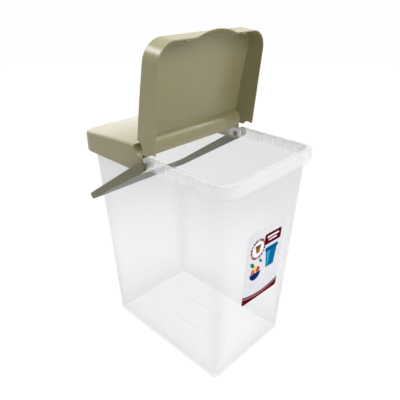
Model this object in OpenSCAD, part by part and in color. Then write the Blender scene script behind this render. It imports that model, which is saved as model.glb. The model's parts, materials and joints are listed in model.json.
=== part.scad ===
// Kitchen storage bin for rice or other dry goods: a tapered translucent bin, a fixed
// rear cover, a front lid that flips open on it, a carrying handle and a front label.
// Millimetres. The origin is the centre of the base, +Z is up and the front faces -Y.

/* [Bin] */
// Height from the table to the top of the rim
height = 300; // [240:1:360]
// Width across the rim, from side to side
rim_w = 174.8; // [168:0.2:200]
// Length over the rim, from front to back
rim_l = 260.6; // [250:0.2:300]
// Corner radius of the rim
rim_corner = 22.4; // [18:0.2:30]
// Height of the turned-down band around the rim
band_h = 15.2; // [12:0.2:20]
// Thickness of the rim's band and of its top
band_t = 1.8; // [1.2:0.1:2.4]
// Reach of the rim past the wall at each side
side_overhang = 3.9; // [3:0.1:6]
// Reach of the rim past the wall at the front and the back
end_overhang = 8; // [5:0.2:12]
// Corner radius of the wall at its top
wall_corner = 17.3; // [12:0.1:20]
// Width of the base
base_w = 146.8; // [125:0.2:160]
// Length of the base
base_l = 214.6; // [190:0.2:235]
// Corner radius of the base, seen from above
base_corner = 9.9; // [7:0.1:14]
// Radius of the edge between the base and the walls
base_edge = 4; // [2:0.2:6]
// Thickness of the walls
wall_t = 1.8; // [1.4:0.1:2.6]
// Thickness of the floor
floor_t = 2.4; // [1.8:0.1:4]

/* [Rim ribs and floor bead] */
// Distance between two ribs inside the band
rib_pitch = 21; // [16:0.5:26]
// Distance from the middle of the bin to the first rib
rib_start = 38; // [30:0.5:46]
// Ribs inside the band, on each quarter of the two sides
rib_count = 4; // [1:1:4]
// Thickness of a rib
rib_t = 1.2; // [0.8:0.1:2]
// Width of the bead's rectangle on the floor
bead_w = 45; // [30:1:80]
// Length of the bead's rectangle on the floor
bead_l = 72; // [40:1:120]
// Corner radius of the bead's rectangle
bead_corner = 8; // [4:0.5:14]
// Width of the bead itself
bead_t = 1.6; // [1:0.1:3]
// Height of the bead above the floor
bead_h = 0.8; // [0.4:0.1:1.6]

/* [Cover and lid shell] */
// Thickness of the rear cover and of the lid
cap_t = 1.5; // [1.2:0.1:2]
// Depth of their skirts below the top of the rim
skirt_h = 21.7; // [18:0.1:26]
// Gap between the skirts and the rim at each side
side_gap = 0.5; // [0.3:0.05:0.8]
// Gap between the lid's skirt and the rim at the front
front_gap = 1.1; // [0.8:0.05:1.6]
// Gap between the cover's skirt and the rim at the back
rear_gap = 2.4; // [0.8:0.1:3]
// Corner radius of the lid
lid_corner = 24.4; // [20:0.2:30]
// Corner radius of the rear cover
cover_corner = 22; // [18:0.2:28]
// Height of the crowned top above the rim, in the middle of the bin
crown_mid = 13.4; // [12:0.1:16]
// Height of the crowned top above the rim, at the front end of the lid
lid_crown_end = 2.9; // [2.8:0.1:5]
// Height of the crowned top above the rim, at the rear end of the cover
cover_crown_end = 3.8; // [2.8:0.1:6]
// Fall of the crowned top from its middle line to each side
crown_side_drop = 1; // [0:0.1:1]
// Power of the distance from the middle by which the crown falls
crown_power = 1.5; // [1.2:0.1:2.5]
// Radius of the outer edge around the top
cap_edge = 3; // [2:0.1:4]
// Radius of the hollow across the top, on each side of the hinge
cove_r = 12.4; // [10:0.1:12.8]
// Distance from the middle of the bin to the centre of each hollow
cove_y = 5; // [4.5:0.1:8]
// Distance from the middle of the bin to the cover's side skirts, above the pivots
cover_start = 1.5; // [1.2:0.1:3]
// Distance from the middle of the bin to the cover's side skirts, below the pivots
cover_low_start = 5; // [3.5:0.1:8]
// Distance from the middle of the bin to the lid's side skirts, above the pivots
lid_start = 1.9; // [1.2:0.1:3]
// Distance from the middle of the bin to the lid's side skirts, below the pivots
lid_low_start = 8; // [6:0.1:12]
// Distance between two fins inside the cover, which stand on the rim
fin_pitch = 32; // [24:1:34]
// Fins along each side of the cover
fin_count = 3; // [1:1:3]
// Length of a fin
fin_l = 8; // [5:0.5:12]
// Width of a snap nub inside the front and the rear skirt
nub_w = 8; // [5:0.5:12]
// Distance of a snap nub from the middle of the skirt
nub_x = 46; // [38:0.5:60]
// Height of a snap nub
nub_h = 2.4; // [1.6:0.1:3.5]
// Gap between a snap nub and the lower edge of the rim's band
nub_drop = 0.4; // [0.2:0.1:1]
// Gap between a snap nub and the outer face of the band
nub_gap = 0.1; // [0:0.05:0.4]

/* [Finger lip] */
// Half the width of the lip on the lid's front skirt
lip_half_w = 33; // [20:0.5:36]
// Reach of the lip past the skirt
lip_out = 6.7; // [4:0.1:9]
// Height of the flare that leads into the lip
lip_h = 12.5; // [8:0.5:16]

/* [Lid hinge] */
// Distance of the hinge axis behind the middle of the bin
hinge_y = 1; // [0:0.1:2]
// Height of the hinge axis above the rim
hinge_up = 1; // [0.8:0.1:1.6]
// Radius of the lid's hinge barrel
barrel_r = 2.1; // [1.8:0.1:2.3]
// Distance from the sides of the lid to the ends of the hinge barrel
barrel_in = 5.4; // [5:0.1:11]
// Radius of the stub at each end of the barrel
stub_r = 1.4; // [1:0.1:1.6]
// Thickness of the cover's lug at each end
lug_t = 2.2; // [1.5:0.1:2.4]
// Radius of the lug around the stub
lug_r = 2.4; // [2.2:0.1:2.6]
// Angle of the lid as it stands open, from closed
lid_open = 83.9; // [0:0.1:110]
// Drop of the rim under the hinge
seat_drop = 1.8; // [1.6:0.1:3]
// Depth that the rim's side is set back beside the hinge
seat_inset = 0.8; // [0.4:0.1:1.2]
// Reach of the set-back stretch in front of the middle
seat_front = 11.2; // [10:0.2:16]
// Reach of the set-back stretch behind the middle
seat_back = 14; // [10:0.2:20]

/* [Handle] */
// Distance of the handle's pivots in front of the middle
pivot_front = 1.5; // [0.5:0.1:2.5]
// Depth of the pivots below the top of the rim
pivot_drop = 10.5; // [10:0.1:11.5]
// Radius of the handle's pins
pin_r = 3; // [2:0.1:3.4]
// Radial clearance of a pin or a stub in its hole
pin_gap = 0.08; // [0.05:0.01:0.1]
// Length of a pin's snap head
head_l = 2; // [1.4:0.1:3]
// Gap between a snap head and the boss
head_gap = 0.3; // [0.2:0.05:0.6]
// Height of the snap head's edge above the pin
head_lip = 0.6; // [0.3:0.1:0.8]
// Width of the slot that splits the pin
slot_w = 1.2; // [0.8:0.1:1.6]
// Radius of the hub at the top of each arm
hub_r = 6.7; // [5.5:0.1:8]
// Radius of the collar inside each hub
collar_r = 6; // [4.5:0.1:7]
// Thickness of the collar
collar_t = 1.6; // [1:0.1:2]
// Width of the neck between the collar and the hub
neck_t = 0.6; // [0.4:0.1:1]
// Thickness of the handle's strap
strap_t = 3.4; // [2.4:0.1:3.6]
// Width of the strap at the crossbar
bar_w = 9.5; // [7:0.1:12]
// Distance from the pivots to the outer face of the crossbar
handle_l = 149.6; // [147:0.5:165]
// Radius of the bend between an arm and the crossbar
bail_corner = 7; // [5:0.5:14]
// Gap between the cover's skirt and the strap at the pivot
arm_gap = 3.4; // [3:0.1:5]
// How much closer each arm is to the middle at the crossbar
arm_lean = 3.2; // [0:0.1:3.4]
// Gap between the resting crossbar and the rear wall
rest_gap = 0.3; // [0.2:0.05:0.6]

/* [Handle bosses] */
// Length of the boss inside the bin, from front to back
boss_l = 19; // [15:0.5:22]
// Height of the boss inside the bin
boss_h = 14; // [11:0.5:16]
// Reach of the boss into the bin
boss_in = 2.6; // [1.6:0.1:4]
// Radius of the boss between the wall and the band
boss_r = 5.6; // [5:0.1:6]
// Radius of the raised ring around the hole
ring_r = 4.6; // [4.2:0.1:5]
// Height of the raised ring
ring_h = 0.7; // [0.3:0.1:0.8]
// Gap around the handle's pins that both skirts leave
notch_gap = 0.6; // [0.4:0.05:1]
// Distance from a pin up to the point where the skirts start to slant
bevel_rise = 1.2; // [0.6:0.1:2.4]

/* [Label] */
// Width of the label
label_w = 76.5; // [50:0.5:90]
// Height of the label
label_h = 110; // [60:1:150]
// Height of the label's middle above the table
label_z = 158.5; // [120:0.5:190]
// Distance of the label's middle from the middle of the front
label_x = 6.3; // [-10:0.1:12]
// Drop of its upper and lower edge from left to right
label_skew = 4.9; // [0:0.1:8]
// Corner radius of the label
label_corner = 4; // [1:0.5:8]
// Thickness of the label
label_t = 0.25; // [0.15:0.05:0.5]

/* [Hidden] */
corner_steps = 8;
side_steps = 10;
edge_steps = 4;
crown_rings = 4;

// overlap of two joined solids, reach of a cut past what it cuts, smallest radius
eps = 0.01;
past = 1;
min_r = 0.5;

// walls of the bin, all at the height of the rim or of the table
top_w = rim_w - 2 * side_overhang;
top_l = rim_l - 2 * end_overhang;
side_slope = (top_w - base_w) / 2 / height;
end_slope = (top_l - base_l) / 2 / height;

// shell of the cover and the lid, as if it were one piece over the whole rim
cap_w = rim_w + 2 * (side_gap + cap_t);
lid_reach = rim_l / 2 + front_gap + cap_t;
cover_reach = rim_l / 2 + rear_gap + cap_t;
skirt_z = height - skirt_h;
over_z = height + 2 * crown_mid;
skirt_cut = rim_w / 2 - cap_t;
lip_blend = 0.5;
cove_z = height + crown_mid;
tongue_z = cove_z - cove_r;

// hinge of the lid
hinge_z = height + hinge_up;
lug_gap = 0.4;
tongue_gap = 0.4;
barrel_half = cap_w / 2 - barrel_in;
lug_x = barrel_half + lug_gap;

// pivots of the handle
pivot_y = -pivot_front;
pivot_z = height - pivot_drop;
notch_r = pin_r + notch_gap;
wall_x = base_w / 2 + side_slope * pivot_z - wall_t;
boss_x = wall_x - boss_in;
hole_r = pin_r + pin_gap;
head_x = boss_x - head_gap;
arm_x = cap_w / 2 + arm_gap;
seat_x = rim_w / 2 - seat_inset;

// angle below the horizontal at which the crossbar reaches the rear wall
bar_in = handle_l - strap_t;
reach_a = bar_in + end_slope * bar_w / 2;
reach_b = end_slope * bar_in - bar_w / 2;
reach_d = base_l / 2 + rest_gap - pivot_y + end_slope * pivot_z;
handle_angle = atan2(reach_b, reach_a) + acos(reach_d / norm([reach_a, reach_b]));

// Right half of a rounded rectangle's outline, from the front to the back
function half_outline(w, l, r) = concat(
    [for (i = [0:corner_steps]) let (a = 90 * i / corner_steps - 90)
        [w / 2 - r + r * cos(a), r - l / 2 + r * sin(a)]],
    [for (i = [1:side_steps - 1]) [w / 2, (l - 2 * r) * (i / side_steps - 0.5)]],
    [for (i = [0:corner_steps]) let (a = 90 * i / corner_steps)
        [w / 2 - r + r * cos(a), l / 2 - r + r * sin(a)]]
);

// Whole outline, with the left half mirrored from the right one
function outline(w, l, r) = let (right = half_outline(w, l, r)) concat(
    right,
    [for (i = [len(right) - 1:-1:0]) [-right[i].x, right[i].y]]
);

// Outline as a ring of points at one height
function level(w, l, r, z) = [for (p = outline(w, l, r)) [p.x, p.y, z]];

// Height of the crowned top over a point; reach and low are those of its far end
function crown(p, reach, low) = cove_z - crown_side_drop * pow(2 * p.x / cap_w, 2)
    - (crown_mid - low) * pow(abs(p.y) / reach, crown_power);

// Closed solid through rings of equal length, from the lowest to the highest
module loft(rings) {
    n = len(rings[0]);
    last = len(rings) - 1;
    points = [for (ring = rings) each ring];
    sides = [for (i = [0:last - 1], j = [0:n - 1]) let (
        a = i * n + j, b = i * n + (j + 1) % n, c = b + n, d = a + n) each [[d, c, b], [d, b, a]]];
    ends = [for (k = [0:n / 2 - 2]) let (m = n - 1 - k, t = last * n) each [
        [k, k + 1, m - 1], [k, m - 1, m], [t + m - 1, t + k + 1, t + k], [t + m, t + m - 1, t + k]]];
    polyhedron(points = points, faces = concat(sides, ends), convexity = 6);
}

// Tapered body of the bin at a distance in from its outer face
module taper(inset, z0, z1, edge) {
    w0 = base_w - 2 * inset;
    l0 = base_l - 2 * inset;
    r0 = base_corner - inset;
    r1 = wall_corner - inset;
    low = [for (i = [0:edge_steps - 1]) let (a = 90 * i / edge_steps, d = edge * (1 - sin(a)))
        level(w0 + 2 * (side_slope * edge - d), l0 + 2 * (end_slope * edge - d),
            max(r0 - d, min_r), z0 + edge * (1 - cos(a)))];
    high = [for (z = [z0 + edge, z1]) let (f = z / height)
        level(w0 + 2 * side_slope * z, l0 + 2 * end_slope * z, r0 + (r1 - r0) * f, z)];
    loft(concat(low, high));
}

// Flat ring between two rounded rectangles
module frame(w, l, r, t, h) {
    linear_extrude(h) difference() {
        polygon(outline(w, l, r));
        polygon(outline(w - 2 * t, l - 2 * t, max(r - t, min_r)));
    }
}

// Repeats its child on the left side
module both_sides() {
    children();
    mirror([1, 0, 0]) children();
}

// Cylinder along X from x0 to x1
module rod(r, x0, x1, y, z, fn = 48) {
    translate([x0, y, z]) rotate([90, 0, 90]) cylinder(r = r, h = x1 - x0, $fn = fn);
}

// Box given by its lowest and highest corner
module block(low, high) {
    translate(low) cube(high - low);
}

// ---- bin ----

module rim() {
    translate([0, 0, height - band_h]) frame(rim_w, rim_l, rim_corner, band_t, band_h);
    translate([0, 0, height - band_t]) linear_extrude(band_t) difference() {
        polygon(outline(rim_w, rim_l, rim_corner));
        polygon(outline(top_w - wall_t, top_l - wall_t, wall_corner - wall_t / 2));
    }
}

// Ribs that stiffen the band, between it and the wall
module rim_ribs() {
    low = height - band_h;
    both_sides() for (end = [-1, 1], i = [0:rib_count - 1]) {
        y = end * (rib_start + rib_pitch * i);
        block([base_w / 2 + side_slope * low - wall_t / 2, y - rib_t / 2, low],
            [rim_w / 2 - band_t / 2, y + rib_t / 2, height - band_t / 2]);
    }
}

// Solid stretch of the rim that carries one handle pin, under the hinge
module boss() {
    block([boss_x, -boss_l / 2, pivot_z + hole_r - boss_h / 2 - pin_gap],
        [wall_x + wall_t / 2, boss_l / 2, height - seat_drop]);
    rod(boss_r, wall_x + wall_t / 2, seat_x, pivot_y, pivot_z);
    rod(ring_r, seat_x - band_t, seat_x + ring_h, pivot_y, pivot_z);
    block([wall_x + wall_t / 2, -seat_front, height - seat_drop - band_t],
        [seat_x, seat_back, height - seat_drop]);
    for (y = [-seat_front - band_t / 2, seat_back - band_t / 2])
        block([wall_x + wall_t / 2, y, height - band_h], [seat_x, y + band_t, height - seat_drop]);
    block([seat_x - band_t, -seat_front, height - band_h], [seat_x, seat_back, height - seat_drop]);
}

// Space over and beside the hinge that the rim leaves free
module seat_space() {
    block([boss_x - past, -seat_front, height - seat_drop], [rim_w, seat_back, height + past]);
    block([seat_x, -seat_front, height - band_h - past], [rim_w, seat_back, height + past]);
}

module bead() {
    translate([0, 0, floor_t - eps]) frame(bead_w, bead_l, bead_corner, bead_t, bead_h + eps);
}

module bin() {
    color("whitesmoke", 0.6) difference() {
        union() {
            difference() {
                union() {
                    difference() {
                        taper(0, 0, height, base_edge);
                        taper(wall_t, floor_t, height + past, base_edge);
                    }
                    rim();
                    rim_ribs();
                }
                both_sides() seat_space();
            }
            both_sides() boss();
            bead();
        }
        both_sides() rod(hole_r, boss_x - past, rim_w, pivot_y, pivot_z);
    }
}

// ---- shell that the cover and the lid share ----

// Crowned solid over the whole rim, at a distance in from its outer face;
// reach, low and corner are its half length, its height at the ends and its corner radius
module cap_solid(reach, low, corner, inset, z0) {
    w = cap_w - 2 * inset;
    l = 2 * (reach - inset);
    r = corner - inset;
    edge = max(cap_edge - inset, min_r);
    around = [for (i = [0:edge_steps]) let (a = 90 * i / edge_steps, d = edge * (1 - cos(a)))
        [for (p = outline(w - 2 * d, l - 2 * d, r - d))
            [p.x, p.y, crown(p, reach, low) - inset - edge * (1 - sin(a))]]];
    over = [for (i = [1:crown_rings - 1]) let (f = 1 - i / crown_rings)
        [for (p = outline(w - 2 * edge, l - 2 * edge, r - edge))
            [p.x * f, p.y * f, crown(p * f, reach, low) - inset]]];
    loft(concat([level(w, l, r, z0)], around, over));
}

// Space of the hollow above the hinge on the rear side, grown by a distance
module cove_space(grow) {
    rod(cove_r + grow, -cap_w, cap_w, cove_y, cove_z, fn = 96);
    block([-cap_w, -rim_l, tongue_z - grow], [cap_w, cove_y, over_z]);
    block([-cap_w, -rim_l, cove_z], [cap_w, cove_y + cove_r + grow, over_z]);
}

// Rear half of the shell with its hollow: its skirts start at y0 and its tongue at y1
module half_cap(reach, low, corner, y0, y1) {
    skirt_in = cap_w / 2 - cap_t;
    difference() {
        cap_solid(reach, low, corner, 0, skirt_z);
        difference() {
            cap_solid(reach, low, corner, cap_t, skirt_z - past);
            cove_space(cap_t);
        }
        cove_space(0);
        block([-cap_w, -rim_l, skirt_z - past], [cap_w, y0, over_z]);
        block([-skirt_in, -rim_l, skirt_z - past], [skirt_in, y1, over_z]);
    }
}

// Space below the pivot where a side skirt slants back from its start to a lower start
module skirt_bevel(start, low_start) {
    top = pivot_z + pin_r + bevel_rise;
    bottom = pivot_z - pin_r / 2;
    low = skirt_z - past;
    translate([skirt_cut, 0, 0]) rotate([90, 0, 90]) linear_extrude(cap_w / 2)
        polygon([[0, top], [start, top], [low_start, bottom], [low_start, low], [0, low]]);
}

// Clear space around the handle's pin, which both skirts leave
module pin_notch() {
    rod(notch_r, skirt_cut, cap_w, pivot_y, pivot_z);
}

// Snap nubs inside a skirt that reaches that far back, just below the band of the rim
module nubs(reach) {
    high = height - band_h - nub_drop;
    both_sides() block([nub_x - nub_w / 2, rim_l / 2 + nub_gap, high - nub_h],
        [nub_x + nub_w / 2, reach - cap_t / 2, high]);
}

// ---- rear cover ----

// Fins that stand on the rim and carry the top
module cover_fins() {
    intersection() {
        cap_solid(cover_reach, cover_crown_end, cover_corner, cap_t / 2, height);
        union() {
            both_sides() for (i = [1:fin_count])
                block([rim_w / 2 - fin_l, fin_pitch * i, height],
                    [cap_w / 2, fin_pitch * i + rib_t, cove_z]);
            both_sides() block([fin_pitch, rim_l / 2 - fin_l, height],
                [fin_pitch + rib_t, cover_reach, cove_z]);
        }
    }
}

// Lug that holds the stub at one end of the lid's barrel
module lug() {
    difference() {
        union() {
            rod(lug_r, lug_x, lug_x + lug_t, hinge_y, hinge_z);
            block([lug_x, hinge_y, tongue_z - cap_t], [lug_x + lug_t, cove_y, tongue_z]);
        }
        rod(stub_r + pin_gap, lug_x - past, lug_x + lug_t + past, hinge_y, hinge_z);
    }
}

module rear_cover() {
    color("tan") {
        difference() {
            half_cap(cover_reach, cover_crown_end, cover_corner, cover_start,
                hinge_y + barrel_r + tongue_gap);
            both_sides() {
                pin_notch();
                skirt_bevel(cover_start, cover_low_start);
            }
        }
        cover_fins();
        nubs(cover_reach);
        both_sides() lug();
    }
}

// ---- flip lid ----

// Cone whose outer part is the flared lip, at a distance in from its face
module lip_cone(inset) {
    r = (pow(lip_half_w, 2) + pow(lip_out, 2)) / (2 * lip_out);
    translate([0, r - lip_out - lid_reach, skirt_z])
        cylinder(h = lip_h, r1 = r - inset, r2 = r - lip_out - inset, $fn = 180);
}

// Part of a shape that lies outside the inner face of the front skirt
module front_only(back) {
    intersection() {
        children();
        block([-cap_w, -rim_l, skirt_z - past], [cap_w, back - lid_reach, height]);
    }
}

// Lid as it lies closed
module closed_lid() {
    difference() {
        union() {
            mirror([0, 1, 0]) half_cap(lid_reach, lid_crown_end, lid_corner, lid_start, lid_start);
            front_only(cap_t) lip_cone(0);
            block([-barrel_half, -cove_y, tongue_z - cap_t], [barrel_half, hinge_y, tongue_z]);
            rod(barrel_r, -barrel_half, barrel_half, hinge_y, hinge_z);
            rod(stub_r, -lug_x - lug_t, lug_x + lug_t, hinge_y, hinge_z, fn = 32);
        }
        front_only(cap_t + lip_blend) lip_cone(cap_t);
        both_sides() {
            pin_notch();
            mirror([0, 1, 0]) skirt_bevel(lid_start, lid_low_start);
        }
    }
    mirror([0, 1, 0]) nubs(lid_reach);
}

module flip_lid() {
    color("tan") translate([0, hinge_y, hinge_z]) rotate([-lid_open, 0, 0])
        translate([0, -hinge_y, -hinge_z]) closed_lid();
}

// ---- handle: drawn with its arms along +Y from the pivots, then turned down ----

// Side view of the strap: a hub that narrows to the crossbar
module strap_side() {
    circle(r = hub_r, $fn = 48);
    polygon([[0, -hub_r], [handle_l, -bar_w / 2], [handle_l, bar_w / 2], [0, hub_r]]);
}

// Half of the bail seen from above, at a distance in from its outer face
module bail_half(inset) {
    r = bail_corner - inset;
    x = arm_x + strap_t - inset;
    far = x - arm_lean;
    y = handle_l - inset;
    polygon([[0, -2 * hub_r], [x, -2 * hub_r], [x, 0], [far + arm_lean * r / y, y - r],
        [far + arm_lean * r / y - r, y - r], [far - r, y], [0, y]]);
    translate([far + arm_lean * r / y - r, y - r]) circle(r = r, $fn = 64);
}

// The whole bail: two arms and the crossbar, one strap bent at two rounded corners
module bail() {
    intersection() {
        both_sides() rotate([90, 0, 90]) linear_extrude(arm_x + strap_t) strap_side();
        translate([0, 0, -hub_r]) linear_extrude(2 * hub_r) difference() {
            both_sides() bail_half(0);
            both_sides() bail_half(strap_t);
        }
    }
}

// Pin with a split snap head, which stands in the boss of the bin
module pin() {
    difference() {
        union() {
            rod(pin_r, head_x - head_l, arm_x + strap_t / 2, 0, 0);
            rod(collar_r - neck_t, arm_x - neck_t, arm_x + strap_t / 2, 0, 0);
            rod(collar_r, arm_x - neck_t - collar_t, arm_x - neck_t, 0, 0);
            rod(pin_r + head_lip, head_x - head_l, head_x, 0, 0);
        }
        block([head_x - head_l - past, -pin_r * 2, -slot_w / 2],
            [boss_x + boss_in, pin_r * 2, slot_w / 2]);
    }
}

module handle() {
    color("darkkhaki") translate([0, pivot_y, pivot_z]) rotate([-handle_angle, 0, 0]) {
        bail();
        both_sides() pin();
    }
}

// ---- label ----

// Label's outline: a parallelogram with rounded corners
module label_outline() {
    h = label_h / 2 - label_corner;
    w = label_w / 2 - label_corner;
    hull() for (x = [-w, w], z = [-h, h])
        translate([x, z - label_skew * x / label_w]) circle(r = label_corner, $fn = 32);
}

module label() {
    color("lavender") translate([label_x, -base_l / 2 - end_slope * label_z, label_z])
        rotate([90 + atan(end_slope), 0, 0]) linear_extrude(label_t) label_outline();
}

bin();
rear_cover();
flip_lid();
handle();
label();
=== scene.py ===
"""Looks of a kitchen storage bin with a flip lid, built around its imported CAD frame.

Lengths are written in millimetres and scaled to metres as each mesh is made.
"""
import json
import math

import bmesh
import bpy
from mathutils import Matrix, Vector


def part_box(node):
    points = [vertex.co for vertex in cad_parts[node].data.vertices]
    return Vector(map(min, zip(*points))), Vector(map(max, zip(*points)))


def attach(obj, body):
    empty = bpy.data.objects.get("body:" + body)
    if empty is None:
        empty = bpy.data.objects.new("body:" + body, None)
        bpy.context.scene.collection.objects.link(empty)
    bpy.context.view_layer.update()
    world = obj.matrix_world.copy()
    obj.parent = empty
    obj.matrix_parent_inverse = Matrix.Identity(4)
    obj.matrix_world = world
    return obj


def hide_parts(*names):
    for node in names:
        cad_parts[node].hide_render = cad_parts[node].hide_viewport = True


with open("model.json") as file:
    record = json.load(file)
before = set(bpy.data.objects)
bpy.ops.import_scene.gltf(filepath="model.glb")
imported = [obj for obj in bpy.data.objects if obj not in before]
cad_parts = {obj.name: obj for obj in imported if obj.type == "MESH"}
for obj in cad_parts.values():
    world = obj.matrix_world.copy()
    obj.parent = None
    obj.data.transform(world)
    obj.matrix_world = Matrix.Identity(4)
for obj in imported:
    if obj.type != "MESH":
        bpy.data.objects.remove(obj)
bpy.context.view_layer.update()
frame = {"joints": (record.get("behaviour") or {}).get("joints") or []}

MM = 0.001


def in_mm(place):
    """A place in the frame's metres, in millimetres."""
    return [round(c / MM, 2) for c in place]


# ---- sizes of the frame, in millimetres ----

joints = {joint["name"]: joint for joint in frame["joints"]}

RIM_W, RIM_L, HEIGHT = in_mm(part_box("bin")[1])    # half width, half length and height of the rim
RIM_CORNER = 22.4
BAND_H, BAND_T = 15.2, 1.8
WALL_W, WALL_L, WALL_CORNER = 83.5, 122.3, 17.3   # outer face of the wall at the top
BASE_W, BASE_L, BASE_CORNER, BASE_EDGE = 73.4, 107.3, 9.9, 4.0
WALL_T, FLOOR_T = 1.8, 2.4
BEAD_W, BEAD_L, BEAD_CORNER = 22.5, 36.0, 8.0     # ring on the floor
TOP_EDGE = 1.7
RIBS, RIB_T = (38, 59, 80, 101), 1.2              # places of the ribs under the rim, and their thickness
SIDE_SLOPE = (WALL_W - BASE_W) / HEIGHT
END_SLOPE = (WALL_L - BASE_L) / HEIGHT

SKIRT_Z = in_mm(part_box("rear_cover")[0])[2]
CAP_W, COVER_REACH, _ = in_mm(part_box("rear_cover")[1])
CAP_T, CAP_EDGE = 1.5, 3.0
COVE_R, COVE_Y, COVE_Z = 12.4, 5.0, 313.4         # the hollow across the top, over the hinge
TONGUE_Z = COVE_Z - COVE_R
CROWN_MID, CROWN_SIDE, CROWN_POWER = 13.4, 1.0, 1.5
LID = {"reach": 132.9, "low": 2.9, "corner": 24.4, "start": 1.9, "low_start": 8.0, "tongue": -1.0}
COVER = {"reach": COVER_REACH, "low": 3.8, "corner": 22.0, "start": 1.5, "low_start": 5.0, "tongue": 3.5}
BEVEL_TOP, BEVEL_END = 293.7, 288.0
NUB_X, NUB_W, NUB_H, NUB_DROP, NUB_EDGE = 46.0, 8.0, 2.4, 0.4, 0.3
FINS, FIN_PITCH, FIN_L, FIN_T = 3, 32, 8, 1.2

LIP_HALF, LIP_OUT, LIP_H = 33.0, 6.7, 12.5
_, HINGE_Y, HINGE_Z = in_mm(joints["lid_hinge"]["pos_m"])
LID_OPEN = -joints["lid_hinge"]["range_deg"][0]   # how far open the lid is at rest, in degrees
BARREL_R, BARREL_HALF, STUB_R, LUG_T, LUG_R = 2.1, 84.0, 1.4, 2.2, 2.4
LUG_X = BARREL_HALF + 0.4
SEAT_X, SEAT_DROP, SEAT_FRONT, SEAT_BACK = 86.6, 1.8, 11.2, 14.0

_, PIVOT_Y, PIVOT_Z = in_mm(joints["handle_pivot"]["pos_m"])
PIN_R, HOLE_R = 3.0, 3.08
STRAP_T, BAR_W, HANDLE_L, BAIL_CORNER, ARM_LEAN = 3.4, 9.5, 149.6, 7.0, 3.2
STRAP_OUT = in_mm(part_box("handle")[1])[0]         # outer face of an arm at its hub
ARM_X = round(STRAP_OUT - STRAP_T, 2)
OUTER_EDGE, INNER_EDGE = 1.8, 0.5                 # rounding of the strap's outer and inner edges
HUB_R, HUB_THIN, GROOVE_R = 6.7, 1.7, 3.8
COLLAR_R, COLLAR_IN, COLLAR_OUT = 6.0, 89.9, 92.3
RING_Y, RING_OUT, RING_IN, RING_PROUD = 142.0, 2.1, 1.2, 0.25
HEAD_L, HEAD_LIP, HEAD_RIM, SLOT_W, REST_GAP = 2.0, 0.6, 0.8, 1.2, 0.3
BOSS_L, BOSS_H, BOSS_R, RING_R, RING_H, BOSS_IN = 19.0, 14.0, 5.6, 4.6, 0.7, 2.6
BOSS_X = BASE_W + SIDE_SLOPE * PIVOT_Z - WALL_T - BOSS_IN
HEAD_X = BOSS_X - 0.3

LABEL_LEFT, LABEL_RIGHT = (in_mm(corner)[0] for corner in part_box("label"))
LABEL_W, LABEL_X = round(LABEL_RIGHT - LABEL_LEFT, 2), round((LABEL_LEFT + LABEL_RIGHT) / 2, 2)
LABEL_H, LABEL_Z, LABEL_T = 110.0, 158.5, 0.25
LABEL_SKEW, LABEL_CORNER = 4.9, 4.0
LABEL_GAP = 0.03                                  # keeps the label's back apart from the wall's face


# ---- mesh building ----

SHARP_ANGLE = 32.0                                # degrees between faces from which an edge is sharp


class Shape:
    """Points and faces in millimetres, gathered from closed shells."""

    def __init__(self):
        self.points, self.faces = [], []

    def add(self, points, faces):
        start = len(self.points)
        self.points += [tuple(p) for p in points]
        self.faces += [[start + i for i in face] for face in faces]

    def loft(self, rings, wrap=False):
        """Closed rings joined in order, with flat ends, or joined end to end if wrap is set."""
        n = len(rings[0])
        faces = []
        pairs = list(zip(range(len(rings)), range(1, len(rings))))
        if wrap:
            pairs.append((len(rings) - 1, 0))
        for a, b in pairs:
            for j in range(n):
                k = (j + 1) % n
                faces.append([a * n + j, a * n + k, b * n + k, b * n + j])
        if not wrap:
            faces.append(list(reversed(range(n))))
            faces.append([(len(rings) - 1) * n + j for j in range(n)])
        self.add([p for ring in rings for p in ring], faces)

    def lathe(self, profile, y=0.0, z=0.0, segments=48, wrap=False, side=1):
        """Turned shell around an axis along X; the profile holds (x, radius) pairs."""
        rings = [[(side * x, y + r * math.cos(t), z + r * math.sin(t))
                  for t in (2 * math.pi * k / segments for k in range(segments))]
                 for x, r in profile]
        self.loft(rings, wrap)

    def box(self, low, high, bevel=0.0):
        """Box with chamfered upper and lower edges along Z."""
        (x0, y0, z0), (x1, y1, z1) = low, high
        rings = []
        for z, inset in ((z0, bevel), (z0 + bevel, 0.0), (z1 - bevel, 0.0), (z1, bevel)):
            rings.append([(x0 + inset, y0 + inset, z), (x1 - inset, y0 + inset, z),
                          (x1 - inset, y1 - inset, z), (x0 + inset, y1 - inset, z)])
        self.loft(rings if bevel else [rings[0], rings[-1]])

    def moved(self, matrix):
        self.points = [tuple(matrix @ Vector(p)) for p in self.points]
        return self


def build(name, shape, materials, body, node, pick=None):
    """Object of a shape, which stands for a CAD node and rides on its body.

    pick, if it is given, tells from a face's corners in millimetres which material it takes.
    """
    mesh = bpy.data.meshes.new(name)
    mesh.from_pydata([(x * MM, y * MM, z * MM) for x, y, z in shape.points], [], shape.faces)
    bm = bmesh.new()
    bm.from_mesh(mesh)
    bmesh.ops.recalc_face_normals(bm, faces=bm.faces)
    bm.to_mesh(mesh)
    bm.free()
    mesh.shade_smooth()
    mesh.set_sharp_from_angle(angle=math.radians(SHARP_ANGLE))
    for material in materials:
        mesh.materials.append(material)
    if pick:
        for face in mesh.polygons:
            face.material_index = pick([mesh.vertices[v].co / MM for v in face.vertices])
    obj = bpy.data.objects.new(name, mesh)
    bpy.context.scene.collection.objects.link(obj)
    normals = obj.modifiers.new("flat_normals", "WEIGHTED_NORMAL")
    normals.keep_sharp = True
    normals.weight = 100
    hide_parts(node)
    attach(obj, body)
    return obj


def fillet(steps):
    """Angles of a quarter turn."""
    return [math.pi / 2 * k / steps for k in range(steps + 1)]


# ---- bin ----

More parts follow.
